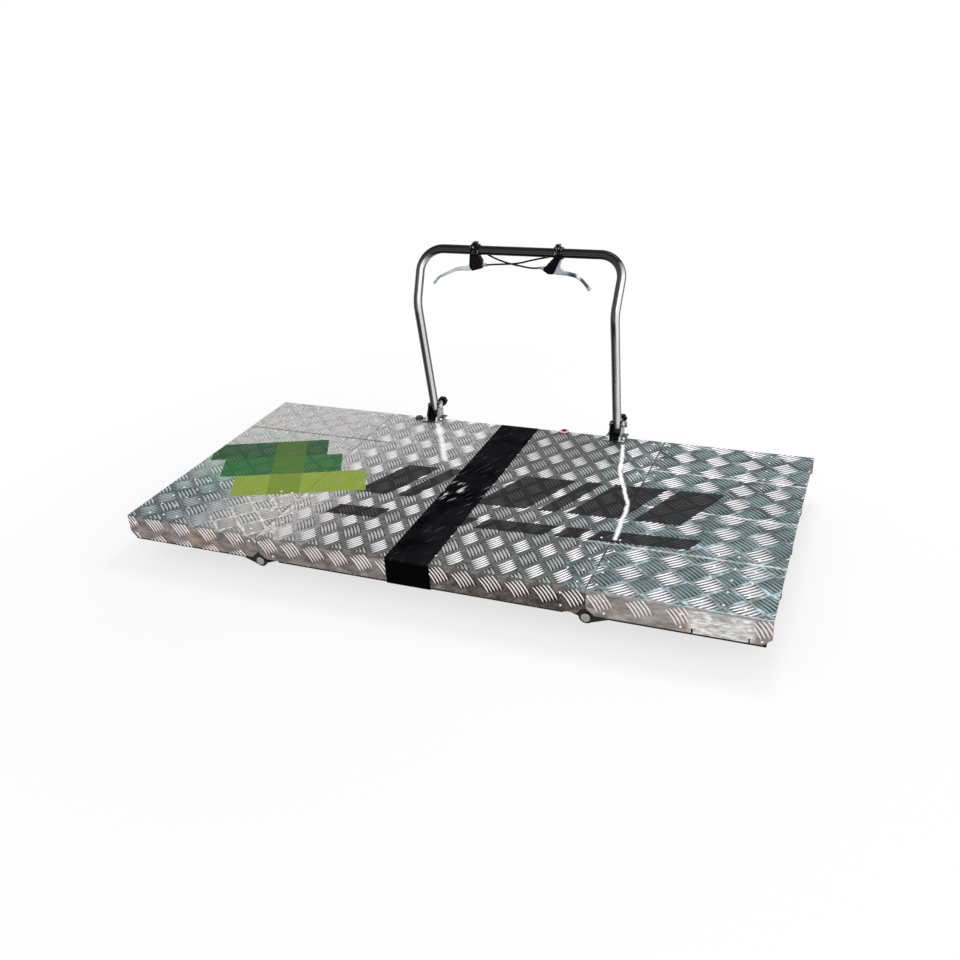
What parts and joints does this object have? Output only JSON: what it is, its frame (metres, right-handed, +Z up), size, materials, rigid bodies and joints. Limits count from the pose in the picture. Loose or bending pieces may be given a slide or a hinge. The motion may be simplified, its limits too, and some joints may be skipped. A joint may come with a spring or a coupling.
{
  "type": "folding railway push trolley",
  "caption": "Flat folding rail trolley of tread plate with two drop flaps, flanged wheels under the flaps and a fold-down tube push handle with brake levers.",
  "frame": {"origin": "on the floor under the middle of the deck, on the track's centre line", "axes": "+X to the right across the rails, +Y along the track towards the handle, +Z up"},
  "size_m": [1.65, 0.8468, 0.6635],
  "materials": {
    "tread_plate": "five-bar tread, semi-bright",
    "frame_black": "satin black paint",
    "zinc_steel": "bright zinc plate",
    "wheel_steel": "turned steel",
    "brake_lining": "matt",
    "black_band": "wrinkled gloss film",
    "polished_tube": "polished, dark on the cross bar",
    "bracket_steel": "bare steel with black edges",
    "black_plastic": "satin",
    "silver_alloy": "cast, satin",
    "cable_sheath": "smooth sheath",
    "black_rubber": "domed, slightly glossy",
    "red_plastic": "faded red",
    "red_lens": "dark red"
  },
  "bodies": {
    "center_deck": {"center_plate": "tread_plate", "center_frame": "frame_black", "left_hinge_pins": "zinc_steel", "right_hinge_pins": "zinc_steel", "left_handle_pivot": "zinc_steel", "right_handle_pivot": "zinc_steel", "left_clamp_bolt": "zinc_steel", "right_clamp_bolt": "zinc_steel", "cover_band": "black_band", "left_handle_bracket": "bracket_steel", "right_handle_bracket": "bracket_steel", "left_clamp_knob": "black_plastic", "right_clamp_knob": "black_plastic", "rest_bumper": "black_rubber", "marker_lamp_ring": "red_plastic", "marker_lamp_lens": "red_lens"},
    "left_flap": {"left_flap_plate": "tread_plate", "left_flap_frame": "frame_black", "axle_bracket_front_left": "frame_black", "axle_bracket_back_left": "frame_black", "axle_front_left": "zinc_steel", "axle_back_left": "zinc_steel", "left_brake_shoe": "brake_lining"},
    "right_flap": {"right_flap_plate": "tread_plate", "right_flap_frame": "frame_black", "axle_bracket_front_right": "frame_black", "axle_bracket_back_right": "frame_black", "axle_front_right": "zinc_steel", "axle_back_right": "zinc_steel", "right_brake_shoe": "brake_lining"},
    "handle": {"handle_tube": "polished_tube", "left_lever_perch": "black_plastic", "left_brake_blade": "silver_alloy", "left_cable_adjuster": "silver_alloy", "left_brake_cable": "cable_sheath", "right_lever_perch": "black_plastic", "right_brake_blade": "silver_alloy", "right_cable_adjuster": "silver_alloy", "right_brake_cable": "cable_sheath"},
    "wheel_front_left": {"wheel_front_left": "wheel_steel"},
    "wheel_back_left": {"wheel_back_left": "wheel_steel"},
    "wheel_front_right": {"wheel_front_right": "wheel_steel"},
    "wheel_back_right": {"wheel_back_right": "wheel_steel"}
  },
  "joints": [
    {"name": "left_flap_fold", "type": "hinge", "parent": "center_deck", "child": "left_flap", "pos_m": [-0.425, 0, 0.055], "axis": [0, -1, 0], "range_deg": [0, 180]},
    {"name": "right_flap_fold", "type": "hinge", "parent": "center_deck", "child": "right_flap", "pos_m": [0.425, 0, 0.055], "axis": [0, 1, 0], "range_deg": [0, 180]},
    {"name": "handle_fold", "type": "hinge", "parent": "center_deck", "child": "handle", "pos_m": [0, 0.38998, 0.168], "axis": [1, 0, 0], "range_deg": [0, 88]},
    {"name": "wheel_front_left_spin", "type": "hinge", "parent": "left_flap", "child": "wheel_front_left", "pos_m": [-0.744, -0.27, 0.055], "axis": [1, 0, 0], "continuous": true},
    {"name": "wheel_back_left_spin", "type": "hinge", "parent": "left_flap", "child": "wheel_back_left", "pos_m": [-0.744, 0.27, 0.055], "axis": [1, 0, 0], "continuous": true},
    {"name": "wheel_front_right_spin", "type": "hinge", "parent": "right_flap", "child": "wheel_front_right", "pos_m": [0.744, -0.27, 0.055], "axis": [1, 0, 0], "continuous": true},
    {"name": "wheel_back_right_spin", "type": "hinge", "parent": "right_flap", "child": "wheel_back_right", "pos_m": [0.744, 0.27, 0.055], "axis": [1, 0, 0], "continuous": true}
  ]
}
